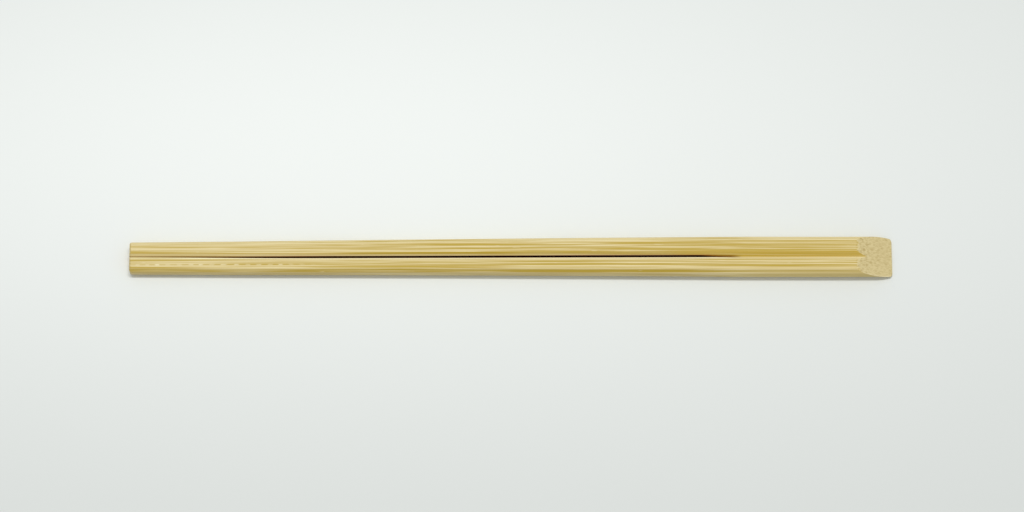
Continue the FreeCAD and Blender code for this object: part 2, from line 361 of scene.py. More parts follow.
def corner_loss(radius, distance):
    """What a rounded corner takes off the bar's side, at a distance from the bar's end."""
    inside = (radius - distance).at_least(0.0)
    return radius - (radius * radius - inside * inside).root()


print("Corner radii:", SIZES["tip corner"] / MM, "and", SIZES["handle corner"] / MM, "mm")

# %% Vertex positions
# The slanted cut pushes stations back over this many times its own length
SQUEEZE_ROOM = 1.25


def vertex_position(graph, size):
    """The position of each vertex of the grid, from its station and its step."""
    index = graph.add("GeometryNodeInputIndex")
    station = (index / SECTION_ROWS + 0.5 / SECTION_ROWS).floor()
    step = index - station * SECTION_ROWS
    along = shares(station, STRETCHES)
    share = shares(step, SECTION_EDGES)

    half = size["pair length"] / 2
    x = station_place(size, along)
    corners, bulge, top, half_width = section_corners(size, x)
    y, z = walk_section(corners, bulge, share)

    from_tips = x + half
    end_bevel = (size["tip end bevel"] - from_tips).at_least(0.0)
    z = z.at_least(end_bevel).at_most(top - end_bevel)
    y = y.at_most(half_width - corner_loss(size["tip corner"], from_tips))

    # The end faces: rings drawn to the middle of a stick at the tips, to the pair's at the handle
    tip_ring = along["tip cap"]
    handle_ring = 1.0 - along["handle cap"]
    tip_middle = (size["tip width"] / 4, size["tip thickness"] / 2)
    y = (tip_middle[0] + (y - tip_middle[0]) * tip_ring) * handle_ring
    z = tip_middle[1] + (z - tip_middle[1]) * tip_ring
    z = size["slant edge"] + (z - size["slant edge"]) * handle_ring

    # The slanted cut squeezes the last stations into what it leaves of the bar at their height
    steepness = size["slant length"] / (size["handle thickness"] - size["slant edge"])
    cut = (z - size["slant edge"]).at_least(0.0) * steepness
    squeeze_length = size["slant length"] * SQUEEZE_ROOM
    squeeze = ((x - half) / squeeze_length + 1.0).clamped()
    x = x - cut * squeeze
    y = y.at_most(half_width - corner_loss(size["handle corner"], half - x))
    return graph.vector(x, y, z), along, share


print("Ready to place", STATIONS * SECTION_ROWS, "vertices")

# %% [markdown]
# ## What the shape tells the finish
# A planed edge, a groove, a sawn wall and a cut end all look different on real bamboo. The finish
# could work them out from coordinates, but the walk already knows them. So the tree stores them as
# attributes of the faces: "arris", "end grain", "sawn" and "groove wall", which takes in the
# groove's own arris. A fifth, "from slit", is each point's distance from the middle of the slit.
# No saw runs quite true and no bamboo dries quite straight, so the last step lets the groove stray
# from the middle and bows the bar. "From slit" is stored before that, and so it follows them.

# %% Attributes, stray and bow
# How far the groove strays to the near side in the middle of the bar, and how that changes towards
# the tips and the handle
STRAY = 0.2 * MM
STRAY_TOWARDS_TIPS = 0.34 * MM
STRAY_START, STRAY_END = -58.0 * MM, -112.0 * MM
STRAY_AT_HANDLE = 0.16 * MM
HANDLE_STRAY_START, HANDLE_STRAY_END = 50.0 * MM, 66.0 * MM
BOW = 0.15 * MM
BOW_CREST, BOW_REACH = 5.0 * MM, 80.0 * MM


def store(graph, geometry, name, domain, value):
    """Keeps a value on the mesh, for a later node or for a material."""
    settings = {"data_type": "FLOAT", "domain": domain}
    inputs = {"Geometry": geometry, "Name": name, "Value": value}
    return graph.add("GeometryNodeStoreNamedAttribute", settings, inputs)


def stored(graph, name):
    return graph.add("GeometryNodeInputNamedAttribute", {"data_type": "FLOAT"}, {"Name": name})


def stray_and_bow(graph, geometry, size):
    """Lets the groove stray, as a saw does, and bows the bar, as dry bamboo does."""
    x, y, z = graph.add("GeometryNodeInputPosition").parts()
    from_crest = (x - BOW_CREST) / BOW_REACH
    bow = BOW * (1.0 - (from_crest * from_crest).at_most(1.0))
    stray = STRAY_TOWARDS_TIPS * x.eased(STRAY_START, STRAY_END) - STRAY
    stray = stray - STRAY_AT_HANDLE * x.eased(HANDLE_STRAY_START, HANDLE_STRAY_END)
    inner = (1.0 - abs(y) / (size["tip width"] / 2)).clamped()
    offset = graph.vector(0.0, bow + (stray - bow) * inner, 0.0)
    return graph.add("GeometryNodeSetPosition", {}, {"Geometry": geometry, "Offset": offset})


print(f"The bar bows by {BOW / MM} mm")

# %% [markdown]
# ## Growing one stick
# The tree starts from a grid primitive and moves each vertex to its place. The walk also passes
# through the middle plane, where the two sticks are still one. No face belongs inside the wood, so
# those that lie in that plane are thrown away.

# %% Geometry nodes for one stick
SEAM = 0.001 * MM
# A face lies inside a stretch of a walk when the mean of its corners is no whole number, but at
# least this much more
SLIVER = 0.01


def mark_faces(graph, stick, along, share):
    """Stores what kind of face each one is, from how far its corners have walked."""
    walks = {
        "arrises walked": share["top arris"] + share["side arris"],
        "caps walked": along["tip cap"] + along["handle cap"],
        "slit walked": share["slit floor"] + share["slit wall"],
        "groove walked": share["groove wall"] + share["groove arris"],
    }
    for name, walked in walks.items():
        stick = store(graph, stick, name, "POINT", walked)
    for walked, kept in (("arrises walked", "arris"), ("caps walked", "end grain")):
        mean = stored(graph, walked)
        part = mean - mean.floor()
        between = part.maths("GREATER_THAN", part, SLIVER)
        stick = store(graph, stick, kept, "FACE", between)
    mean = stored(graph, "slit walked")
    stick = store(graph, stick, "sawn", "FACE", mean.maths("GREATER_THAN", mean, SLIVER))
    mean = stored(graph, "groove walked")
    return store(graph, stick, "groove wall", "FACE", mean.maths("LESS_THAN", mean, 2 - SLIVER))


def grow_stick(graph, size):
    """The far stick: a grid with its vertices moved, without the faces inside the wood."""
    counts = {"Vertices X": STATIONS, "Vertices Y": SECTION_ROWS}
    stick = graph.add("GeometryNodeMeshGrid", {}, counts)
    position, along, share = vertex_position(graph, size)
    stick = mark_faces(graph, stick, along, share)
    stick = graph.add("GeometryNodeSetPosition", {}, {"Geometry": stick, "Position": position})
    across = abs(graph.add("GeometryNodeInputPosition").parts()[1])
    inner = across.maths("LESS_THAN", across, SEAM)
    settings = {"domain": "FACE", "mode": "ALL"}
    inputs = {"Geometry": stick, "Selection": inner}
    return graph.add("GeometryNodeDeleteGeometry", settings, inputs)


print("One stick starts from", (STATIONS - 1) * (SECTION_ROWS - 1), "faces")

# %% [markdown]
# ## Growing the pair
# The near stick is the far one's mirror image, because both are cut from the same bar with the
# same tools. A mirror turns faces inside out, so they are flipped back. Merging by distance then
# closes every seam, and also removes the faces that shrank to nothing. At the end the result
# becomes a plain mesh, since the exported model can't carry a modifier.

# %% Geometry nodes for the pair
SMOOTH_ANGLE = math.radians(12)


def group_inputs(tree, sizes):
    """One named input of the tree for each size. Returns the sockets' identifiers by name."""
    identifiers = {}
    for name, value in sizes.items():
        socket = tree.interface.new_socket(name, in_out="INPUT", socket_type="NodeSocketFloat")
        socket.subtype = "DISTANCE"
        socket.default_value = value
        identifiers[name] = socket.identifier
    return identifiers


def pair_tree(material):
    """The node tree that grows the joined pair from its sizes."""
    tree = bpy.data.node_groups.new("joined pair", "GeometryNodeTree")
    identifiers = group_inputs(tree, SIZES)
    tree.interface.new_socket("Geometry", in_out="OUTPUT", socket_type="NodeSocketGeometry")
    graph = Graph(tree)
    size = {name: graph.add("NodeGroupInput", output=name) for name in SIZES}

    stick = grow_stick(graph, size)
    other = graph.add("GeometryNodeTransform", {}, {"Geometry": stick, "Scale": (1.0, -1.0, 1.0)})
    other = graph.add("GeometryNodeFlipFaces", {}, {"Mesh": other})
    both = graph.add("GeometryNodeJoinGeometry", {}, {"Geometry": [stick, other]})
    both = graph.add("GeometryNodeMergeByDistance", {}, {"Geometry": both, "Distance": SEAM})
    from_slit = graph.add("GeometryNodeInputPosition").parts()[1]
    both = store(graph, both, "from slit", "POINT", from_slit)
    both = stray_and_bow(graph, both, size)
    both = graph.add("GeometryNodeRealizeInstances", {}, {"Geometry": both})
    both = graph.add("GeometryNodeSetMaterial", {}, {"Geometry": both, "Material": material})
    graph.add("NodeGroupOutput", {}, {"Geometry": both})
    return tree, identifiers


def grow_pair(material):
    """Grows the pair and turns it into a plain mesh."""
    pair = bpy.data.objects.new("joined_sticks", bpy.data.meshes.new("joined sticks"))
    bpy.context.scene.collection.objects.link(pair)
    tree, identifiers = pair_tree(material)
    modifier = pair.modifiers.new("joined pair", "NODES")
    modifier.node_group = tree
    for name, value in SIZES.items():
        modifier[identifiers[name]] = value
    evaluated = pair.evaluated_get(bpy.context.evaluated_depsgraph_get())
    mesh = bpy.data.meshes.new_from_object(evaluated)
    pair.modifiers.remove(modifier)
    pair.data = mesh
    mesh.shade_smooth()
    mesh.set_sharp_from_angle(angle=SMOOTH_ANGLE)
    return pair


print("Ready to grow a pair with", len(SIZES), "inputs")

# %% [markdown]
# ## The bamboo
# Bamboo is a bundle of stiff brown fibres in pale, soft tissue, and every fibre runs the length of
# the bar. We could paint streaks on each face, but then the end faces wouldn't fit them. A solid
# texture is truer: the bundles are long cells in space, so a face along them shows streaks, and
# the slanted face across them shows specks, with no work for either.
# The colours come first. We give them as a screen shows them, which is how we see the real thing,
# and turn them once into what the renderer needs.

# %% Colours
def linear(red, green, blue):
    """A colour given as a screen shows it, 0 to 255, as the renderer needs it."""
    channels = []
    for value in (red, green, blue):
        share = value / 255
        channels.append(share / 12.92 if share <= 0.04045 else ((share + 0.055) / 1.055) ** 2.4)
    return (*channels, 1.0)


STRAW = linear(225, 208, 154)
GOLD = linear(186, 158, 56)
# The pale of real torn flecks, and of the painted highlights on arrises and on the slanted face's
# rim
FLECK_AND_HIGHLIGHT_PALE = linear(238, 226, 184)
END_STRAW = linear(214, 198, 146)
END_GOLD = linear(184, 163, 106)
# Painted light: the pale of the groove's lips
LIP_LIGHT_PALE = linear(255, 251, 210)
WALL_GOLD = linear(208, 178, 78)
RICH_GOLD = linear(176, 146, 0)
# Painted light: the paler grey of the near side, where the pale sheet throws light up
FLOOR_BOUNCE_PALE = linear(222, 212, 184)
SAWN_GOLD = linear(206, 150, 10)
OLIVE = linear(146, 104, 0)
TOASTED = linear(154, 44, 0)
LIT_AMBER = linear(218, 140, 16)
SCORCH = linear(62, 8, 2)
print("Straw is", [round(channel, 3) for channel in STRAW])

# %% [markdown]
# ## Blending, mottling and changing along the bar
# Three helpers serve the whole finish. Colours are blended by Mix nodes, because a Math node would
# turn them grey. What grows without a plan comes from soft noise. And much of the finish changes
# slowly from the tips to the handle, so a small table tells how a number goes on that way.

# %% Helpers for the finish
# A Mix node has sockets for numbers and vectors too, so its colours are found by their places
FIRST_COLOUR, SECOND_COLOUR, MIXED_COLOUR = 6, 7, 2


def mix(graph, share, first, second):
    """One colour where share is 0 and another where it is 1."""
    inputs = {"Factor": share, FIRST_COLOUR: first, SECOND_COLOUR: second}
    return graph.add("ShaderNodeMix", {"data_type": "RGBA"}, inputs, output=MIXED_COLOUR)


def noise(graph, x, y, z, detail=2.0):
    """Soft noise around 0.5, at a place that is already scaled."""
    inputs = {"Vector": graph.vector(x, y, z), "Scale": 1.0, "Detail": detail}
    return graph.add("ShaderNodeTexNoise", {}, inputs)


def changing(x, value, *steps):
    """A number on its way from the tips to the handle: each step says from where to where, in
    millimetres from the bar's middle, and by how much it changes there."""
    for start, end, amount in steps:
        value = value + amount * x.eased(start, end)
    return value


print("Helpers ready: mix, noise, changing")

# %% [markdown]
# ## Where a point lies
# The finish differs from face to face, as it does on the real bar: one side was under the skin of
# the culm, the other near its hollow. A separate material for each face would leave hard borders.
# Here one material asks where the point is, in millimetres, and on which kind of face.

# %% The place on the bar
# Half the bar's width in its middle, and how much wider it gets with every millimetre
HALF_WIDTH, WIDENING = 5.06, 0.0056
# Where the faces begin, as shares of half the width: the near stick's are negative
NEAR_SKIN = (-0.66, -0.8)
NEAR_SIDE = (-0.93, -0.965)
FAR_BEVEL = (0.72, 0.84)


def attribute(graph, name):
    """What the shape has stored under this name."""
    return graph.add("ShaderNodeAttribute", {"attribute_name": name}, output="Fac")


class Place:
    """Where a point lies on the bar, in millimetres, and on which face."""

    def __init__(self, graph):
        metres = graph.add("ShaderNodeTexCoord", output="Object")
        scale = {"Vector": metres, "Scale": (1 / MM, 1 / MM, 1 / MM)}
        self.x, self.y, self.z = graph.add("ShaderNodeMapping", {}, scale).parts()
        self.from_slit = attribute(graph, "from slit") / MM
        self.far = self.from_slit.maths("GREATER_THAN", self.from_slit, 0.0)
        self.near = 1.0 - self.far
        across = self.from_slit / (HALF_WIDTH + WIDENING * self.x)
        self.near_skin = across.eased(*NEAR_SKIN)
        self.near_side = across.eased(*NEAR_SIDE)
        self.far_bevel = across.eased(*FAR_BEVEL)
        groove_wall = attribute(graph, "groove wall")
        self.far_wall = groove_wall * self.far
        self.near_wall = groove_wall * self.near
        self.sawn = attribute(graph, "sawn")


print(f"Half the width at the handle end: {HALF_WIDTH + WIDENING * PAIR_LENGTH / 2 / MM:.2f} mm")

# %% [markdown]
# ## The grain
# A bundle of fibres is a long thin cell, and a Voronoi texture gives such cells once space is
# squeezed along the bar. Streaks, threads and fine fibres lie between the bundles: three sizes of
# noise, squeezed too. No culm is quite straight, so slow waves bend them all together.

# %% Bundles, streaks and threads
# How often each kind changes along and across the bar, per millimetre
DRIFT_ALONG, DRIFT_ACROSS = 0.012, 0.05
RIPPLE_ALONG, RIPPLE_ACROSS = 0.07, 0.3
STREAK_ALONG, STREAK_ACROSS = 0.016, 1.9
THREAD_ALONG, THREAD_ACROSS = 0.024, 3.4
FINE_ALONG, FINE_ACROSS = 0.08, 7.0
# Where a kind's noise starts, so that it isn't a copy of another kind's
RIPPLE_START, THREAD_START = 7.0, 3.0
# How far the two waves push the grain to the side and up, in millimetres
DRIFT_SIDE, DRIFT_UP = 0.8, 0.6
RIPPLE_SIDE, RIPPLE_UP = 0.12, 0.1
# A bundle's length, width and height in millimetres, and how far its fibres reach from its heart
BUNDLE_LENGTH, BUNDLE_WIDTH, BUNDLE_HEIGHT = 100.0, 0.74, 0.38
BUNDLE_SCATTER = 0.9
FIBRES_FULL, FIBRES_END = 0.2, 0.5


class Grain:
    """The fibre bundles at a place, and the streaks, threads and fine fibres between them."""

    def __init__(self, graph, place):
        x, y, z = place.x, place.y, place.z
        self.drift = noise(graph, x * DRIFT_ALONG, y * DRIFT_ACROSS, z * DRIFT_ACROSS) - 0.5
        ripple_z = z * RIPPLE_ACROSS + RIPPLE_START
        self.ripple = noise(graph, x * RIPPLE_ALONG, y * RIPPLE_ACROSS, ripple_z) - 0.5
        y = y + self.drift * DRIFT_SIDE + self.ripple * RIPPLE_SIDE
        z = z + self.drift * DRIFT_UP + self.ripple * RIPPLE_UP
        self.y = y
        cell_place = graph.vector(x / BUNDLE_LENGTH, y / BUNDLE_WIDTH, z / BUNDLE_HEIGHT)
        inputs = {"Vector": cell_place, "Scale": 1.0, "Randomness": BUNDLE_SCATTER}
        self.from_heart = graph.add("ShaderNodeTexVoronoi", {"feature": "F1"}, inputs)
        cell_colour = self.from_heart.socket.node.outputs["Color"]
        self.tone = Wire(graph, cell_colour).parts()[0]
        self.bundle = 1.0 - self.from_heart.eased(FIBRES_FULL, FIBRES_END)
        self.streak = noise(graph, x * STREAK_ALONG, y * STREAK_ACROSS, z * STREAK_ACROSS)
        thread_x = x * THREAD_ALONG + THREAD_START
        self.thread = noise(graph, thread_x, y * THREAD_ACROSS, z * THREAD_ACROSS, detail=1.0)
        self.fine = noise(graph, x * FINE_ALONG, y * FINE_ACROSS, z * FINE_ACROSS)


print(f"A bundle is {BUNDLE_LENGTH:.0f} mm long and {BUNDLE_WIDTH} mm wide")

# %% [markdown]
# ## Bundles that the plane laid open
# Where the plane cuts along a thick bundle, its fibres show as one long golden line. Chance puts
# those lines somewhere on each bar. Noise alone would put them elsewhere, so the longest ones on
# this bar are listed one by one, each with soft ends.

# %% Opened bundles
# How far across the bar, from where to where along it, both in millimetres, and how strong
OPEN_BUNDLES = [
    (3.95, -22.0, 6.0, 0.35),
    (3.1, -33.0, 10.0, 0.4),
    (2.8, -8.0, 24.0, 0.4),
    (1.95, -50.0, 2.0, 0.5),
    (1.66, 22.0, 52.0, 0.35),
    (0.65, -42.0, -4.0, 0.6),
    (2.72, 36.0, 92.0, 0.45),
    (3.6, 38.0, 68.0, 0.4),
    (-2.05, 12.0, 56.0, 0.3),
    (-2.4, -62.0, -30.0, 0.35),
    (-2.64, -30.0, 44.0, 0.45),
    (-2.95, 40.0, 92.0, 0.4),
    (-3.2, -60.0, -10.0, 0.4),
    (-4.2, -64.0, -4.0, 0.4),
    (-4.33, -4.0, 50.0, 0.4),
]
OPEN_CORE, OPEN_EDGE, OPEN_FADE = 0.12, 0.32, 9.0


def open_bundles(x, y):
    """How golden the opened bundles make a place, in millimetres along and across the bar."""
    golden = 0.0
    for across, start, end, strength in OPEN_BUNDLES:
        width = abs(y - across).eased(OPEN_EDGE, OPEN_CORE)
        length = x.eased(start - OPEN_FADE, start + OPEN_FADE)
        length = length * x.eased(end + OPEN_FADE, end - OPEN_FADE)
        golden = golden + width * length * strength
    return golden


print(len(OPEN_BUNDLES), "opened bundles")

# %% [markdown]
# ## How golden the wood is
# Under its skin a culm is dense and golden, and towards its hollow it is pale. The bar was cut
# with its near side to the skin, so the near bevel is the golden one. The groove's far wall is made
# more golden, and its near wall, which faces the light, is painted paler as painted light. We could
# give every face its own colour, but the streaks have to run on over the edges, so the faces only
# shift one number: 0 is pale tissue and 1 is all fibre.

# %% The golden share
GOLDEN_LEVEL = 0.38
BUNDLE_LEAST, BUNDLE_TONE = 0.1, 0.4
STREAK_SHARE, THREAD_SHARE, FINE_SHARE = 1.3, 3.0, 1.1
# How much more golden each face is, at the tips and then step by step to the handle
NEAR_SKIN_SHIFT = (0.46, (-90.0, -50.0, -0.12), (48.0, 66.0, -0.24))
NEAR_STICK_SHIFT = (0.1, (-90.0, -50.0, -0.1), (-70.0, -40.0, -0.04))
FAR_STICK_SHIFT = (-0.12, (-90.0, -50.0, 0.12), (56.0, 70.0, 0.09))
FAR_BEVEL_SHIFT = (-0.25, (-42.0, -28.0, -0.45), (-4.0, 12.0, 0.45), (56.0, 70.0, -0.4))
FAR_WALL_SHIFT = (0.02, (40.0, 52.0, 0.3))
# The near wall faces the light, so it is painted paler: painted light
NEAR_WALL_LIGHT_SHIFT = -0.25
BROW_SHIFT = 0.32
# The grain of the near bevel is calm at the handle: half golden, with weak streaks
CALM_LEVEL = 0.5
CALM_SHARE = (0.0, (58.0, 72.0, 0.7))
# The brow: the upper part of the groove's far wall, as shares of the groove's half width
BROW_START, BROW_FULL = 0.5, 0.85
BROW_SHARE = (1.0, (-6.0, 6.0, -0.6), (36.0, 46.0, 0.6))


def far_brow(place):
    """1 on the upper part of the groove's far wall, and 0 elsewhere."""
    handle_groove, tip_groove = SIZES["handle groove"] / MM, SIZES["tip groove"] / MM
    taper_length = (PAIR_LENGTH - SIZES["handle straight"]) / MM
    taper_start = (PAIR_LENGTH / 2 - SIZES["handle straight"]) / MM
    taper = ((taper_start - place.x) / taper_length).clamped()
    opening = handle_groove + (tip_groove - handle_groove) * taper
    upper = (place.from_slit / opening).eased(BROW_START, BROW_FULL)
    return place.far_wall * upper * changing(place.x, *BROW_SHARE)


def golden_share(place, grain):
    """How golden the planed wood is at a place."""
    x = place.x
    golden = grain.bundle * (BUNDLE_LEAST + BUNDLE_TONE * grain.tone)
    golden = golden + (grain.streak - 0.5) * STREAK_SHARE + (grain.thread - 0.5) * THREAD_SHARE
    golden = golden + (grain.fine - 0.5) * FINE_SHARE + open_bundles(x, grain.y) + GOLDEN_LEVEL
    golden = golden + place.near * changing(x, *NEAR_STICK_SHIFT)
    golden = golden + place.far * changing(x, *FAR_STICK_SHIFT)
    golden = golden + place.near_skin * changing(x, *NEAR_SKIN_SHIFT)
    golden = golden + place.far_bevel * changing(x, *FAR_BEVEL_SHIFT)
    golden = golden + place.far_wall * changing(x, *FAR_WALL_SHIFT)
    golden = golden + place.near_wall * NEAR_WALL_LIGHT_SHIFT + far_brow(place) * BROW_SHIFT
    calm = place.near_skin * changing(x, *CALM_SHARE)
    return (golden + calm * (CALM_LEVEL - golden)).clamped()


print(f"Plain tissue is {GOLDEN_LEVEL:.0%} golden")

# %% [markdown]
# ## Torn fibres
# A dull plane lifts short fibres, which show as bright flecks. Near the tips they make a row, one
# fleck to each stroke of the cutter. A row follows a rule, so it comes from a repeating beat along
# the bar, and noise leaves some of the flecks out. The few elsewhere are only the peaks of noise.

# %% Flecks
TORN_ALONG, TORN_ACROSS, TORN_UP = 0.24, 2.0, 0.5
TORN_START, TORN_FULL, TORN_SHARE = 0.72, 0.8, 0.35
ROW_Y, ROW_EDGE, ROW_CORE = -2.4, 0.24, 0.08
ROW_SHARE = (1.0, (-66.0, -50.0, -1.0))
TOP_START, TOP_FULL = 3.2, 3.6
BEAT_LENGTH, BEAT_DRIFT, BEAT_RIPPLE = 3.0, 2.0, 1.5
FLECK_EDGE, FLECK_CORE = 0.3, 0.12
FLECK_CHANCE, FLECK_LOSS = 1.9, 0.5


def torn_flecks(graph, place, grain):
    """How much of a bright fleck there is at a place."""
    x, y, z = place.x, place.y, place.z
    torn = noise(graph, x * TORN_ALONG, y * TORN_ACROSS, z * TORN_UP, detail=1.0)
    row = abs(y - ROW_Y).eased(ROW_EDGE, ROW_CORE) * z.eased(TOP_START, TOP_FULL)
    row = row * changing(x, *ROW_SHARE)
    beat = x / BEAT_LENGTH + grain.drift * BEAT_DRIFT + grain.ripple * BEAT_RIPPLE
    fleck = abs(beat - beat.floor() - 0.5).eased(FLECK_EDGE, FLECK_CORE)
    in_row = fleck * row * (torn * FLECK_CHANCE - FLECK_LOSS)
    return (in_row + torn.eased(TORN_START, TORN_FULL) * TORN_SHARE).clamped()


print(f"One fleck every {BEAT_LENGTH} mm in the row")

# %% [markdown]
# ## The planed faces
# Every long face shows the grain first. Some get a thin coat of a second colour over it: the
# groove's lips are painted pale, which is painted light, its far wall is rich gold, and the near
# side is painted paler and greyer, as painted light from the pale sheet below. Coats like these are
# easy to weigh one by one, because each is a single Mix node with its own share.

# %% Planed wood
# How strong each coat is, at the tips and then step by step to the handle
# The groove's lips are painted pale, which is painted light
NEAR_LIP_LIGHT_SHARE = (0.38, (-100.0, -84.0, 0.57), (56.0, 64.0, -0.65))
FAR_LIP_LIGHT_SHARE = (0.65, (-15.0, 0.0, -0.35), (40.0, 52.0, -0.3))
WALL_GOLD_SHARE = (0.1, (40.0, 52.0, 0.35))
BROW_GOLD_SHARE = 0.3
RICH_SHARE = (0.0, (-50.0, -36.0, 0.5), (-8.0, 6.0, -0.5))
# The near side is painted paler, as painted light from the pale sheet, and its low edge at the
# handle more so
SIDE_BOUNCE_SHARE = (0.26, (52.0, 62.0, -0.26))
LOW_EDGE_BOUNCE_SHARE = (0.0, (66.0, 80.0, 0.6))
# How far from the slit the coats of the groove reach, and how high the painted light of the side's
# low edge
NEAR_LIP_LIGHT_REACH = (1.0, 0.5)
FAR_LIP_LIGHT_REACH = (0.85, 0.5)
RICH_REACH = (0.4, 0.7)
LOW_EDGE_BOUNCE_REACH = (1.4, 0.7)


def planed_wood(graph, place, grain):
    """The colour of the faces that run along the fibres."""
    x = place.x
    from_slit = abs(place.from_slit)
    # Painted light on the groove's near and far lips
    near_lip_light = place.near_wall * from_slit.eased(*NEAR_LIP_LIGHT_REACH)
    wall_gold = place.far_wall * changing(x, *WALL_GOLD_SHARE) + far_brow(place) * BROW_GOLD_SHARE
    rich = place.far_wall * from_slit.eased(*RICH_REACH)
    far_lip_light = place.far_wall * from_slit.eased(*FAR_LIP_LIGHT_REACH)
    # Painted light on the near side's low edge
    low_edge_bounce = place.near_side * place.z.eased(*LOW_EDGE_BOUNCE_REACH)
    coats = [
        (torn_flecks(graph, place, grain), FLECK_AND_HIGHLIGHT_PALE),
        (near_lip_light * changing(x, *NEAR_LIP_LIGHT_SHARE), LIP_LIGHT_PALE),
        (wall_gold, WALL_GOLD),
        (rich * changing(x, *RICH_SHARE), RICH_GOLD),
        (far_lip_light * changing(x, *FAR_LIP_LIGHT_SHARE), STRAW),
        (place.near_side * changing(x, *SIDE_BOUNCE_SHARE), FLOOR_BOUNCE_PALE),
        (low_edge_bounce * changing(x, *LOW_EDGE_BOUNCE_SHARE), FLOOR_BOUNCE_PALE),
    ]
    wood = mix(graph, golden_share(place, grain), STRAW, GOLD)
    for share, colour in coats:
        wood = mix(graph, share, wood, colour)
    return wood


print("Ready: planed wood")

# %% [markdown]
# ## The slanted face
# The slanted cut crosses every bundle, so it shows their ends as specks in straw, coarser at the
# top where the saw came in. It also tears the last fibres of the top into a short fringe. The
# fringe could be modelled, but it is a few hundredths of a millimetre thick: here the grain of the
# top just reaches a little way over the edge, by a ragged amount.

# %% Cut ends
END_FULL, END_EDGE = 0.22, 0.72
END_LEAST, END_TONE = 0.22, 0.36
SPECK_ALONG, SPECK_ACROSS, SPECK_UP, SPECK_SHARE = 0.5, 3.2, 3.4, 2.2
CONTRAST = (1.2, (97.5, 101.5, -0.5))
END_LEVEL = (0.06, (97.5, 101.5, 0.08))
# The painted highlight along the rim where the slanted face meets the near side, which swells
# around its middle height
RIM_Y, RIM_SWELL, RIM_MIDDLE, RIM_HALF_HEIGHT = 5.25, 0.4, 2.2, 1.6
RIM_EDGE, RIM_CORE = 0.3, 0.08
RIM_HIGHLIGHT_SHARE = (0.0, (92.0, 96.0, 0.6))
FRINGE_ALONG, FRINGE_ACROSS, FRINGE_PLACE = 0.1, 2.4, 0.5
FRINGE_LOSS, FRINGE_DEPTH, FRINGE_EDGE = 0.36, 1.5, 0.07


def cut_wood(graph, place, grain):
    """The colour of a face across the fibres, with a painted highlight on its near rim."""
    x, y, z = place.x, place.y, place.z
    bundle_end = 1.0 - grain.from_heart.eased(END_FULL, END_EDGE)
    speck = noise(graph, x * SPECK_ALONG, y * SPECK_ACROSS, z * SPECK_UP)
    ends = bundle_end * (END_LEAST + END_TONE * grain.tone) + (speck - 0.5) * SPECK_SHARE
    ends = ends * changing(x, *CONTRAST) + changing(x, *END_LEVEL)
    wood = mix(graph, ends.clamped(), END_STRAW, END_GOLD)
    # A painted highlight along the rim by the near side
    side = RIM_Y + RIM_SWELL * (1.0 - ((z - RIM_MIDDLE) / RIM_HALF_HEIGHT) ** 2.0)
    rim_highlight = (y + side).eased(RIM_EDGE, RIM_CORE) * changing(x, *RIM_HIGHLIGHT_SHARE)
    return mix(graph, rim_highlight, wood, FLECK_AND_HIGHLIGHT_PALE)


def cut_mask(graph, place):
    """1 on the end faces, without the ragged fringe that hangs over them from the top."""
    ragged = noise(graph, place.x * FRINGE_ALONG, place.y * FRINGE_ACROSS, FRINGE_PLACE)
    fringe = ((ragged - FRINGE_LOSS) * FRINGE_DEPTH).clamped()
    below_top = HANDLE_THICKNESS / MM - place.z
    return attribute(graph, "end grain") * below_top.eased(fringe, fringe + FRINGE_EDGE)


print("Ready: cut wood")

# %% [markdown]
# ## The scorched slit
# A fast thin saw scorches bamboo. The walls of the slit are nearly black inside, brown where the
# saw ran out near the handle, and straw at the tips, where the slit is a hair's breadth. The heat
# also toasts the far lip brown. The near lip, which faces the light, is painted amber instead: a
# lit copy of the toast, which is painted light. Darkness in a slit comes by itself from the light
# that can't get in, so inside it the colours only add the burn.

# %% Scorch
# How strong the burn is inside and on the lips, at the tips and then step by step to the handle
SCORCH_SHARE = (0.0, (-84.0, -64.0, 0.8), (-64.0, 0.0, 0.2), (51.0, 58.0, -1.0))
LIP_BURN = (
    0.55,
    (-100.0, -82.0, 0.3),
    (-60.0, -40.0, -0.3),
    (5.0, 20.0, 0.15),
    (51.0, 55.0, 0.2),
)
RUN_OUT = (1.0, (60.0, 64.2, -1.0))
LIT_AMBER_SHARE = (0.75, (44.0, 56.0, -0.35))
# How wide the toasted lips are, in millimetres
BURN_WIDTH = (
    0.1,
    (-100.0, -82.0, 0.07),
    (-60.0, -40.0, -0.07),
    (5.0, 20.0, 0.08),
    (51.0, 55.0, 0.04),
)
LIT_AMBER_WIDTH = 0.22
NEAR_BURN = 0.15
UPPER_START, UPPER_FULL = 2.4, 2.8


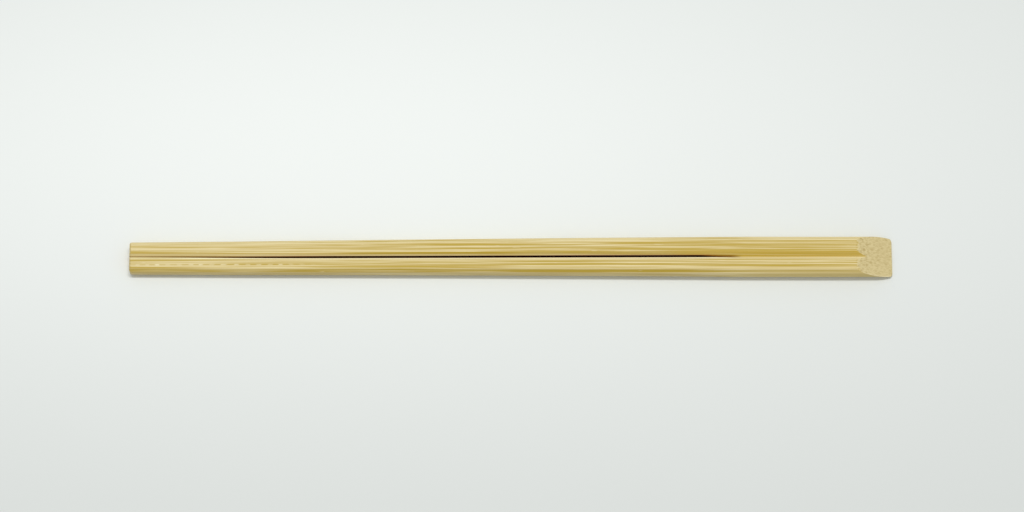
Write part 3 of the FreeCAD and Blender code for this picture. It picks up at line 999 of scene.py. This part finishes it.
def scorched(graph, place, wood, cut):
    """Adds the saw's burn to the colour of the wood, and painted light on the near lip."""
    x = place.x
    tip_gap, kerf = SIZES["tip gap"] / MM, SIZES["kerf"] / MM
    opened = ((x + PAIR_LENGTH / 2 / MM) * (MM / SIZES["closing length"])).clamped()
    beside_slit = abs(place.from_slit) - (tip_gap + (kerf - tip_gap) * opened) / 2
    on_top = changing(x, *RUN_OUT) * place.z.eased(UPPER_START, UPPER_FULL) * (1.0 - cut)
    burn = changing(x, *SCORCH_SHARE)

    # Painted light: the near lip, which faces the light, is a lighter amber copy of the toast
    lit_amber = (1.0 - beside_slit / LIT_AMBER_WIDTH).clamped() * place.near * changing(x, *LIT_AMBER_SHARE)
    wood = mix(graph, lit_amber * on_top, wood, mix(graph, burn, RICH_GOLD, LIT_AMBER))
    toast = (1.0 - beside_slit / changing(x, *BURN_WIDTH)).clamped() * changing(x, *LIP_BURN)
    toast = toast * place.far.at_least(NEAR_BURN)
    wood = mix(graph, toast * on_top, wood, mix(graph, burn, OLIVE, TOASTED))
    return mix(graph, place.sawn, wood, mix(graph, burn, SAWN_GOLD, SCORCH))


print("Ready: scorch")

# %% [markdown]
# ## The finish put together
# Raw bamboo has no varnish: it is matt, a little smoother between the streaks, and dull where it
# is sawn. The planed arrises are painted a touch paler, as a painted highlight where they catch the
# light.
# The fibres stand up by hundredths of a millimetre, which is too fine for a mesh, so a Bump node
# does them.

# %% The bamboo's finish
ARRIS_HIGHLIGHT_SHARE = 0.3
TIP_END_SHARE = (0.5, (-104.8, -104.5, -0.5))
BUMP_STRENGTH, BUMP_DEPTH = 0.35, 0.06 * MM
FINE_BUMP, BUNDLE_BUMP, STREAK_BUMP = 0.5, 0.35, 0.4
ROUGHNESS, STREAK_ROUGHNESS, CUT_ROUGHNESS = 0.5, 0.16, 0.12
GLOSS = 0.35


def bamboo_finish():
    """Fibre bundles along X in pale tissue, with planed edges, sawn ends and a scorched slit."""
    material = bpy.data.materials.new("split bamboo")
    material.use_nodes = True
    graph = Graph(material.node_tree)
    place = Place(graph)
    grain = Grain(graph, place)
    cut = cut_mask(graph, place)
    wood = planed_wood(graph, place, grain)
    # A painted highlight on the arrises
    wood = mix(graph, attribute(graph, "arris") * ARRIS_HIGHLIGHT_SHARE, wood, FLECK_AND_HIGHLIGHT_PALE)
    wood = mix(graph, changing(place.x, *TIP_END_SHARE), wood, END_GOLD)
    wood = mix(graph, cut, wood, cut_wood(graph, place, grain))
    colour = scorched(graph, place, wood, cut)

    height = grain.fine * FINE_BUMP + grain.bundle * BUNDLE_BUMP + grain.streak * STREAK_BUMP
    inputs = {"Height": height, "Strength": BUMP_STRENGTH, "Distance": BUMP_DEPTH}
    bump = graph.add("ShaderNodeBump", {}, inputs)
    roughness = ROUGHNESS + STREAK_ROUGHNESS * grain.streak + CUT_ROUGHNESS * cut
    shader = material.node_tree.nodes["Principled BSDF"]
    graph.tree.links.new(colour.socket, shader.inputs["Base Color"])
    graph.tree.links.new(roughness.at_least(place.sawn).socket, shader.inputs["Roughness"])
    graph.tree.links.new(bump.socket, shader.inputs["Normal"])
    shader.inputs["Specular IOR Level"].default_value = GLOSS
    return material


bamboo = bamboo_finish()
print("The bamboo has", len(bamboo.node_tree.nodes), "nodes")

# %% [markdown]
# ## The pair takes its place
# The real pair is one piece that nothing moves, so it rides on the model's root. It stands in for
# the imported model's bar, which it follows in every size.

# %% The joined sticks
pair = grow_pair(bamboo)
print(f"The pair has {len(pair.data.polygons)} faces")
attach(pair, "root")
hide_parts(PAIR_NODE)

# %% [markdown]
# ## The table
# The pair lies on a plain pale sheet, and the light on such a sheet is never quite even. A lamp
# that made it so would also change the bamboo, so the uneven light is painted on the sheet: its
# colour gets a little greyer away from its brightest place, as painted shade.

# %% Floor
FLOOR_PALE = linear(240, 244, 241)
FLOOR_SHADE_GREY = linear(203, 207, 204)
FLOOR_SIZE = 3.0
FLOOR_ROUGHNESS, FLOOR_GLOSS = 0.9, 0.1
BRIGHT_X, BRIGHT_Y = -0.055, 0.034
FADE_X, FADE_Y = 0.24, 0.092


def pale_finish():
    """A matt sheet with painted shade: a little greyer away from its brightest place."""
    material = bpy.data.materials.new("pale sheet")
    material.use_nodes = True
    graph = Graph(material.node_tree)
    shader = material.node_tree.nodes["Principled BSDF"]
    x, y, z = graph.add("ShaderNodeTexCoord", output="Object").parts()
    across = (x - BRIGHT_X) / FADE_X
    towards = (y - BRIGHT_Y) / FADE_Y
    away = across * across + towards * towards
    colour = mix(graph, away / (away + 1.0), FLOOR_PALE, FLOOR_SHADE_GREY)
    graph.tree.links.new(colour.socket, shader.inputs["Base Color"])
    shader.inputs["Roughness"].default_value = FLOOR_ROUGHNESS
    shader.inputs["Specular IOR Level"].default_value = FLOOR_GLOSS
    return material


half_floor = FLOOR_SIZE / 2
floor_mesh = bpy.data.meshes.new("pale sheet")
floor_corners = [(-half_floor, -half_floor, 0), (half_floor, -half_floor, 0)]
floor_corners += [(half_floor, half_floor, 0), (-half_floor, half_floor, 0)]
floor_mesh.from_pydata(floor_corners, [], [(0, 1, 2, 3)])
floor_mesh.materials.append(pale_finish())
floor = bpy.data.objects.new("pale_sheet", floor_mesh)
bpy.context.scene.collection.objects.link(floor)
print(f"The sheet is {FLOOR_SIZE:.0f} m wide")

# %% [markdown]
# ## The light
# The pair is seen in soft light, with a narrow soft shadow on its near side. Bare lamps would give
# that shadow a hard edge. An even glow from all round does most of the work, and one long panel
# above, leaning to the far side, draws the shadow.

# %% Light
GLOW = 0.54
PANEL_LENGTH, PANEL_DEPTH, PANEL_POWER = 0.8, 0.2, 13.0
PANEL_LEAN, PANEL_DISTANCE = math.radians(12), 1.6


def aim(thing, target):
    """Turns a lamp or a camera towards a point."""
    thing.rotation_euler = (Vector(target) - thing.location).to_track_quat("-Z", "Y").to_euler()


world = bpy.data.worlds.new("studio")
world.use_nodes = True
world.node_tree.nodes["Background"].inputs["Color"].default_value = (1.0, 1.0, 1.0, 1.0)
world.node_tree.nodes["Background"].inputs["Strength"].default_value = GLOW
bpy.context.scene.world = world

panel_light = bpy.data.lights.new("overhead panel", "AREA")
panel_light.shape = "RECTANGLE"
panel_light.size = PANEL_LENGTH
panel_light.size_y = PANEL_DEPTH
panel_light.energy = PANEL_POWER
panel = bpy.data.objects.new("overhead_panel", panel_light)
panel.location = (0.0, PANEL_DISTANCE * math.sin(PANEL_LEAN), PANEL_DISTANCE * math.cos(PANEL_LEAN))
aim(panel, (0.0, 0.0, 0.0))
bpy.context.scene.collection.objects.link(panel)
print(f"One panel of {PANEL_POWER:.0f} W and a glow of {GLOW}")

# %% [markdown]
# ## The camera
# The pair is seen from above and a little from the near side, so that its near side just shows.
# The lens follows from how much of the picture's width the pair takes up. From more than a metre
# away the bar's height hardly changes its outline.

# %% Camera
ELEVATION = math.radians(74)
CAMERA_DISTANCE = 1.2
SENSOR = 36.0
IMAGE_WIDTH, PAIR_PIXELS = 1024, 762.2
ROLL = math.radians(-0.11)
TARGET = Vector((0.00027, 0.0005, 0.0019))
view_width = PAIR_LENGTH * IMAGE_WIDTH / PAIR_PIXELS
camera_data = bpy.data.cameras.new("top view")
camera_data.sensor_width = SENSOR
camera_data.lens = SENSOR * CAMERA_DISTANCE / view_width
camera_data.clip_start = 0.01
camera = bpy.data.objects.new("top_view", camera_data)
away = Vector((0.0, -math.cos(ELEVATION), math.sin(ELEVATION)))
camera.location = TARGET + away * CAMERA_DISTANCE
aim(camera, TARGET)
camera.rotation_euler.rotate_axis("Z", ROLL)
bpy.context.scene.collection.objects.link(camera)
bpy.context.scene.camera = camera
bpy.context.scene.view_settings.view_transform = "Standard"
print(f"Lens {camera_data.lens:.1f} mm")
